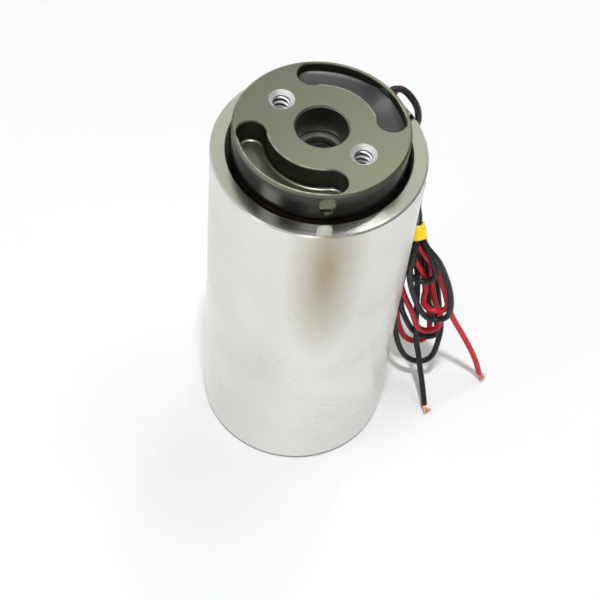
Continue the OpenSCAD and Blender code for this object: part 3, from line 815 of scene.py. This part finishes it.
def relax(guides, rounds=1400, r_min=2.7):
    """Settle the laid leads: pressed apart, without sharp bends, and each as long as it was laid."""
    # the points at the exit and at the end that stands free stay where they were laid
    held_at_exit, held_at_end = 24, 20
    gap = LEAD_D * 1.05
    count = [len(p) for p in guides]
    first = np.r_[0, np.cumsum(count)]
    home = np.vstack(guides)
    x = home.copy()
    cord = np.repeat(np.arange(len(guides)), count)
    order = np.arange(len(x))
    loose = np.ones(len(x), bool)
    for k in range(len(guides)):
        loose[first[k]:first[k] + held_at_exit] = False
        loose[first[k + 1] - held_at_end:first[k + 1]] = False
    free = loose[:, None].astype(float)
    tied = points_in_tie(home)
    step = [np.linalg.norm(np.diff(p, axis=0), axis=1).mean() for p in guides]
    beside = (cord[:, None] == cord[None]) & (abs(order[:, None] - order[None]) < 3)
    for turn in range(rounds):
        if turn % 5 == 0:
            # the pairs that could meet within the next few rounds
            squares = (x ** 2).sum(1)
            apart_squared = squares[:, None] + squares[None] - 2 * x @ x.T
            pairs = np.nonzero(np.triu((apart_squared < (gap + 1.0) ** 2) & ~beside, 1))
        x = press_apart(x, pairs, gap, free)
        pull = 0.02 if turn < rounds * 0.6 else 0.004
        for k in range(len(guides)):
            part = slice(first[k], first[k + 1])
            p = limit_bend(x[part], free[part], r_min)
            p = smooth(p, home[part], free[part], pull)
            x[part] = hold_length(p, free[part], step[k])
        clear_housing(x, loose)
        draw_together(x, tied)
        hide_folds(x, loose)
    return [x[first[k]:first[k + 1]] for k in range(len(guides))]


def laid(guide):
    """The guide points as one smooth curve, a point every millimetre."""
    fine = along(guide, 0.25)
    d = np.r_[0, np.cumsum(np.linalg.norm(np.diff(fine, axis=0), axis=1))]
    u = np.linspace(0, d[-1], int(round(d[-1])) + 1)
    return np.column_stack([np.interp(u, d, fine[:, k]) for k in range(3)])


settled = relax([laid(black_guide), laid(red_guide)])
paths = {kind: along(np.vstack([p[:-1:2], p[-1:]])) for kind, p in zip(("black", "red"), settled)}


def lead(name, path, mat):
    """Insulation tube with its cut end rounded in, so the bare strands come out of it."""
    r = np.full(len(path), LEAD_D / 2)
    r[-1] *= 0.88
    v, f = rings(path, r, 12)
    return put(name, v, f, "coil", mat)


def frayed(name, start, direction, sag, mat):
    """Nineteen bare strands, in two rings round one, splayed a little at the lead's end."""
    golden_angle = 2.39996
    strand_r = 0.075
    spacing = 0.17
    hidden = 0.5
    shortest = 1.7
    least_z = 0.09
    d = np.array(direction, float)
    d /= np.linalg.norm(d)
    u = np.cross(d, [0, 0, 1.0])
    u /= np.linalg.norm(u)
    w = np.cross(u, d)
    parts = []
    for k in range(19):
        ring = 0 if k == 0 else (1 if k < 7 else 2)
        a = k * golden_angle
        side = u * math.cos(a) + w * math.sin(a)
        base = np.array(start) + side * spacing * ring - d * hidden
        out = side * (0.16 * ring + 0.10 * rng.random())
        long = shortest + 0.5 * rng.random()
        t = np.linspace(0, 1, 7)[:, None]
        pts = base + d * long * t + out * t ** 2 * 1.6 + np.array([0, 0, -sag]) * t ** 2
        pts[:, 2] = np.maximum(pts[:, 2], least_z)
        parts.append(rings(pts, strand_r, 6))
    v, f = joined(parts)
    return put(name, v, f, "coil", mat)


# the tie: film tape pulled tight round all sixteen strands, so it takes their outline
UP = np.array([0, 0, 1.0])
OUT = np.array([OUT_X, OUT_Y, 0.0])
ALONG_WALL = np.array([-OUT_Y, OUT_X, 0.0])
ACROSS = LEAN_S * UP - LEAN_Z * ALONG_WALL
ALONG = LEAN_S * ALONG_WALL + LEAN_Z * UP
TIE = OUT * TIE_N + ALONG_WALL * TIE_S + UP * TIE_Z
TAPE_STEPS = 72
TAPE_HALF = 1.5


def tape_outline(place, lift):
    """The tape's outline, (out, across), at a place along the bundle, lifted off the strands there."""
    slice_half, deep, wide = 0.45, 2.8, 4.2
    points = []
    for p in paths.values():
        out, across, along_it = ((p - TIE) @ axis for axis in (OUT, ACROSS, ALONG))
        near = (np.abs(along_it - place) < slice_half) & (np.abs(out) < deep) & (np.abs(across) < wide)
        points.extend(np.column_stack([out[near], across[near]]))
    angle = np.linspace(0, 2 * math.pi, TAPE_STEPS + 1)[:-1]
    toward = np.column_stack([np.cos(angle), np.sin(angle)])
    # how far the strands reach each way, evened out over five steps, gives a taut outline
    reach = (np.array(points) @ toward.T).max(0) + LEAD_D / 2 + lift
    shares = (0.06, 0.24, 0.40, 0.24, 0.06)
    reach = sum(np.roll(reach, k - 2) * share for k, share in enumerate(shares))
    slope = (np.roll(reach, -1) - np.roll(reach, 1)) / (2 * (angle[1] - angle[0]))
    return reach[:, None] * toward + slope[:, None] * np.column_stack([-toward[:, 1], toward[:, 0]])


def on_tape(out, across, along_it):
    """A point given from the tie's middle."""
    return TIE + OUT * out + ACROSS * across + ALONG * along_it


def tape_band():
    """The closed band: wrinkles across it, and edges that wander a little."""
    verts = []
    places = np.linspace(-TAPE_HALF, TAPE_HALF, 10)
    for t in places:
        for k, (a, b) in enumerate(tape_outline(t, 0.10)):
            th = k * 2 * math.pi / TAPE_STEPS
            long_wrinkle = 0.10 * math.sin(5 * th + 1.9 * t) * math.sin(2.2 * t + 0.8)
            wrinkle = max(long_wrinkle + 0.06 * math.sin(11 * th - 1.4 * t), -0.03)
            wander = 0.12 * math.sin(3 * th + 0.5) * (abs(t) / TAPE_HALF) ** 3
            grow = 1 + wrinkle / math.hypot(a, b)
            verts.append(on_tape(a * grow, b * grow, t + wander))
    return verts, grid(len(places), TAPE_STEPS, closed=True)


def tape_tail():
    """The loose end, folded back on the outside and lifting off towards its tip."""
    verts = []
    places = np.linspace(-1.35, 1.3, 8)
    columns = 9
    start_step = 40
    for t in places:
        outline = tape_outline(t * 0.9, 0.22)
        for k in range(columns):
            a, b = outline[(start_step + k * 2) % TAPE_STEPS]
            lift = 0.5 * (k / (columns - 1)) ** 2 + 0.06 * math.sin(k + 2 * t)
            grow = 1 + lift / math.hypot(a, b)
            verts.append(on_tape(a * grow, b * grow, t + 0.15 * math.sin(k * 1.1)))
    return verts, grid(len(places), columns, closed=False)


def tie():
    """The tape that holds the hank."""
    v, f = joined([tape_band(), tape_tail()])
    piece = put("hank_tie_tape", v, f, "coil", MATERIAL["tape"])
    thick = piece.modifiers.new("thick", "SOLIDIFY")
    thick.thickness = 0.09 * MM
    thick.offset = 0
    return piece


black = lead("black_lead_wire", paths["black"], MATERIAL["black"])
red = lead("red_lead_wire", paths["red"], MATERIAL["red"])
black_tip = frayed("black_lead_strands", paths["black"][-1], (0.45, -0.62, -0.30), 0.15, MATERIAL["copper"])
red_tip = frayed("red_lead_strands", paths["red"][-1], (0.66, -0.22, -0.55), 0.10, MATERIAL["copper"])
tape = tie()
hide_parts("hank_tape")
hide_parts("black_tip")
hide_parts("red_tip")
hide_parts("black_lead", "lead_hank")
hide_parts("red_lead")


# small forms that the CAD leaves to the scene
def thread(name, centre, ends, body, mat):
    """The ridge of a thread up a tapped hole, a little coarse so that it reads, fading out at both ends."""
    root, crest, pitch = 1.66, 1.33, 1.15
    steps = 40
    z0, z1 = ends
    n = int((z1 - z0) / pitch * steps)
    # height of the ridge as a share of the whole, and how far from its middle
    ridge = [
        (0.0, -0.30), (0.52, -0.16), (0.92, -0.055), (1.0, 0.0), (0.92, 0.055), (0.52, 0.16), (0.0, 0.30)]
    verts = []
    for i in range(n + 1):
        a = 2 * math.pi * i / steps
        z = z0 + pitch * i / steps
        fade = max(min(1.0, i / (0.5 * steps), (n - i) / (0.5 * steps)), 0.02)
        for share, dz in ridge:
            r = root - (root - crest) * share * fade
            verts.append((centre[0] + r * math.cos(a), centre[1] + r * math.sin(a), z + dz))
    return put(name, verts, grid(n + 1, len(ridge), closed=False), body, mat)


for k, centre in enumerate(HOLDER_THREADS):
    thread(f"holder_thread_{k + 1}", centre, HOLDER_THREAD_Z, "coil", MATERIAL["bare"])
for k, centre in enumerate(BASE_THREADS):
    thread(f"base_thread_{k + 1}", centre, BASE_THREAD_Z, "housing", MATERIAL["turned"])

# points along a pocket's long side, and round its end
SIDE_STEPS = 64
END_POINTS = 19


def pocket_line(mid_az, off):
    """A pocket's outline, kept `off` inside its walls: outer side, end, inner side, end."""
    half = POCKET_SPAN / 2 - math.degrees(math.asin(POCKET_END_R / POCKET_MID_R))
    points = []
    for way, r in ((1, POCKET_OUTER_R - off), (-1, POCKET_INNER_R + off)):
        for i in range(SIDE_STEPS + 1):
            points.append(polar(r, mid_az - way * half + way * 2 * half * i / SIDE_STEPS))
        end_az = mid_az + way * half
        cx, cy = polar(POCKET_MID_R, end_az)
        for i in range(1, END_POINTS + 1):
            turned = end_az + 180 * i / (END_POINTS + 1) + (0 if way > 0 else 180)
            x, y = polar(POCKET_END_R - off, turned)
            points.append((cx + x, cy + y))
    return points


def fillet(name, mid_az, z, radius, body, mat):
    """The cutter's corner radius round the pocket's floor."""
    clear = 0.02
    steps = 6
    verts = []
    for k in range(steps + 1):
        a = math.pi / 2 * k / steps
        line = pocket_line(mid_az, clear + radius * (1 - math.sin(a)))
        verts.extend((x, y, z + radius * (1 - math.cos(a))) for x, y in line)
    return put(name, verts, grid(steps + 1, len(line), closed=True), body, mat)


def meniscus(name, mid_az, z, rise, body, mat):
    """Cast epoxy: flat in the middle, creeping up the walls, with a mound where the leads come out."""
    # how far in from the walls each line of points lies, and how far in the creep reaches
    offs = (0.06, 0.12, 0.22, 0.36, 0.55, 0.80, 1.15, 1.6, 2.1, 2.5)
    creep_width = 0.6
    over_solid = 0.10
    mound_h, mound_spread = 0.7, 7.0
    lx, ly = polar(14.6, LEAD_AZ)
    verts = []
    for off in offs:
        for x, y in pocket_line(mid_az, off):
            creep = rise * math.exp(-off / creep_width)
            mound = mound_h * math.exp(-((x - lx) ** 2 + (y - ly) ** 2) / mound_spread)
            slow = 0.04 * math.sin(0.5 * x + 0.3 * y) + 0.03 * math.sin(0.9 * y - 0.2 * x)
            slow *= 1 - math.exp(-off / 0.8)
            verts.append((x, y, z + over_solid + creep + mound + slow))
    side = SIDE_STEPS + 1
    around = 2 * (side + END_POINTS)
    faces = grid(len(offs), around, closed=True)
    # close the middle: a strip between the two long sides, and one face at each end
    outer = (len(offs) - 1) * around
    inner = outer + side + END_POINTS
    last = inner + SIDE_STEPS
    for i in range(SIDE_STEPS):
        faces.append((outer + i, outer + i + 1, last - i - 1, last - i))
    faces.append(tuple(range(outer + SIDE_STEPS, inner + 1)))
    faces.append(tuple(range(last, last + END_POINTS + 1)) + (outer,))
    return put(name, verts, faces, body, mat)


fillet("front_pocket_fillet", FRONT_POCKET_AZ, POCKET_FLOOR_Z, 0.55, "coil", MATERIAL["anodised"])
meniscus("potting_meniscus", REAR_POCKET_AZ, POTTING_Z, 0.5, "coil", MATERIAL["epoxy"])


# floor and light, in metres
def floor():
    """Pale paper, wide enough to fill every view."""
    half = 6.0
    low = -0.0003
    mesh = bpy.data.meshes.new("floor")
    corners = [(-half, -half, low), (half, -half, low), (half, half, low), (-half, half, low)]
    mesh.from_pydata(corners, [], [(0, 1, 2, 3)])
    ob = bpy.data.objects.new("floor", mesh)
    bpy.context.scene.collection.objects.link(ob)
    m = Nodes("floor_paper", (0.71, 0.718, 0.73), metallic=0.0, rough=0.75)
    cloud = m.span(m.noise(0.02, 3), 0.3, 0.7)
    m.set("Base Color", m.mix(cloud, (0.705, 0.713, 0.726), (0.715, 0.723, 0.736)))
    m.bump(m.noise(2.0, 4), strength=0.05, depth=0.03)
    mesh.materials.append(m.mat)


def area(name, place, side, power, colour):
    """A square lamp that looks at the part's foot."""
    data = bpy.data.lights.new(name, "AREA")
    data.shape = "RECTANGLE"
    data.size = side
    data.size_y = side
    data.energy = power
    data.color = colour
    lamp = bpy.data.objects.new(name, data)
    lamp.location = place
    lamp.rotation_euler = (-Vector(place)).to_track_quat("-Z", "Y").to_euler()
    bpy.context.scene.collection.objects.link(lamp)


BASE_LIGHT = (0.18, 0.185, 0.19)
# patches of the sky: direction, cosines where the patch starts and where it is full, and its light
SKY = (
    # pale wall on the left
    ((-0.95, -0.1, 0.42), 0.45, 0.85, (0.75, 0.76, 0.77)),
    # grey ceiling
    ((0, 0, 1), 0.45, 0.85, (0.24, 0.245, 0.23)),
    # olive tone behind the part, which the holder's face mirrors
    ((0.1, 0.7, 0.7), 0.75, 0.98, (0.58, 0.585, 0.50)),
    # pale wall behind the photographer, and the photographer's own dark shape
    ((0.0, -0.87, 0.42), 0.78, 0.95, (0.95, 0.95, 0.94)),
    ((0.0, -0.62, 0.785), 0.885, 0.965, (0.02, 0.02, 0.018)),
    # the lamp that the rim's bright fan mirrors, with the glow round it
    ((0.10, 0.36, 0.928), 0.975, 0.9955, (2.6, 2.6, 2.5)),
    ((0.145, 0.462, 0.875), 0.9980, 0.9994, (32.0, 32.0, 30.5)),
    # a second, dimmer lamp on the left
    ((-0.54, -0.325, 0.777), 0.984, 0.995, (4.0, 4.0, 3.9)),
)


def world():
    """Soft light all round, with the patches that the metal mirrors."""
    w = bpy.data.worlds.new("studio")
    bpy.context.scene.world = w
    w.use_nodes = True
    tree = w.node_tree
    background = tree.nodes["Background"]
    co = tree.nodes.new("ShaderNodeTexCoord")

    def toward(direction, start, full):
        dot = tree.nodes.new("ShaderNodeVectorMath")
        dot.operation = "DOT_PRODUCT"
        dot.inputs[1].default_value = Vector(direction).normalized()
        tree.links.new(co.outputs["Generated"], dot.inputs[0])
        share = tree.nodes.new("ShaderNodeMapRange")
        share.interpolation_type = "SMOOTHSTEP"
        share.inputs["From Min"].default_value = start
        share.inputs["From Max"].default_value = full
        tree.links.new(dot.outputs["Value"], share.inputs["Value"])
        return share.outputs[0]

    light = None
    for direction, start, full, colour in SKY:
        mixed = tree.nodes.new("ShaderNodeMix")
        mixed.data_type = "RGBA"
        tree.links.new(toward(direction, start, full), mixed.inputs[0])
        if light is None:
            mixed.inputs[6].default_value = (*BASE_LIGHT, 1)
        else:
            tree.links.new(light, mixed.inputs[6])
        mixed.inputs[7].default_value = (*colour, 1)
        light = mixed.outputs[2]
    tree.links.new(light, background.inputs[0])
    background.inputs[1].default_value = 1.0


floor()
area("key", (0.0, -0.163, 0.95), 0.075, 6.7, (1.0, 1.0, 1.0))
area("fill", (0.27, 0.15, 0.93), 0.25, 1.35, (0.99, 1.0, 1.0))
world()
bpy.context.scene.view_settings.view_transform = "Standard"
